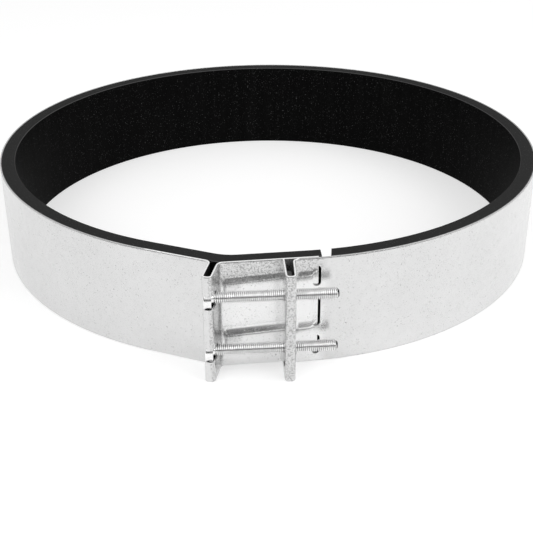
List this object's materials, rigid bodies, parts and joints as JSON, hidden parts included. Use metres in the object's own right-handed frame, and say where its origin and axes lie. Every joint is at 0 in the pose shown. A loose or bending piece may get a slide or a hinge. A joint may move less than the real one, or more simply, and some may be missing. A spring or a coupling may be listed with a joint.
{
  "type": "duct clamp",
  "caption": "Rubber-lined galvanised band clamp that joins or hangs a round ventilation duct, closed by screws between two folded ears.",
  "frame": {"origin": "on the duct's axis, in the plane of the band's lower edge", "axes": "+Z along the duct's axis, +X along the screws from head to tip, -Y towards the ears"},
  "size_m": [0.3332, 0.3513, 0.06],
  "materials": {
    "galvanised_steel": "hot-dip galvanised sheet, fine pale spangle",
    "lining_rubber": "matte black rubber, dusty cut edges",
    "screw_zinc": "bright zinc plate",
    "nut_bar_steel": "dull grey zinc on a flat bar"
  },
  "bodies": {
    "clamp": {"band": "galvanised_steel", "lining": "lining_rubber", "nut_bar": "nut_bar_steel"},
    "lower_screw": {"lower_screw": "screw_zinc"},
    "upper_screw": {"upper_screw": "screw_zinc"}
  },
  "joints": [
    {"name": "lower_screw_turn", "type": "hinge", "parent": "clamp", "child": "lower_screw", "pos_m": [0, -0.1755, 0.015], "axis": [1, 0, 0], "continuous": true},
    {"name": "upper_screw_turn", "type": "hinge", "parent": "clamp", "child": "upper_screw", "pos_m": [0, -0.1755, 0.045], "axis": [1, 0, 0], "continuous": true}
  ]
}
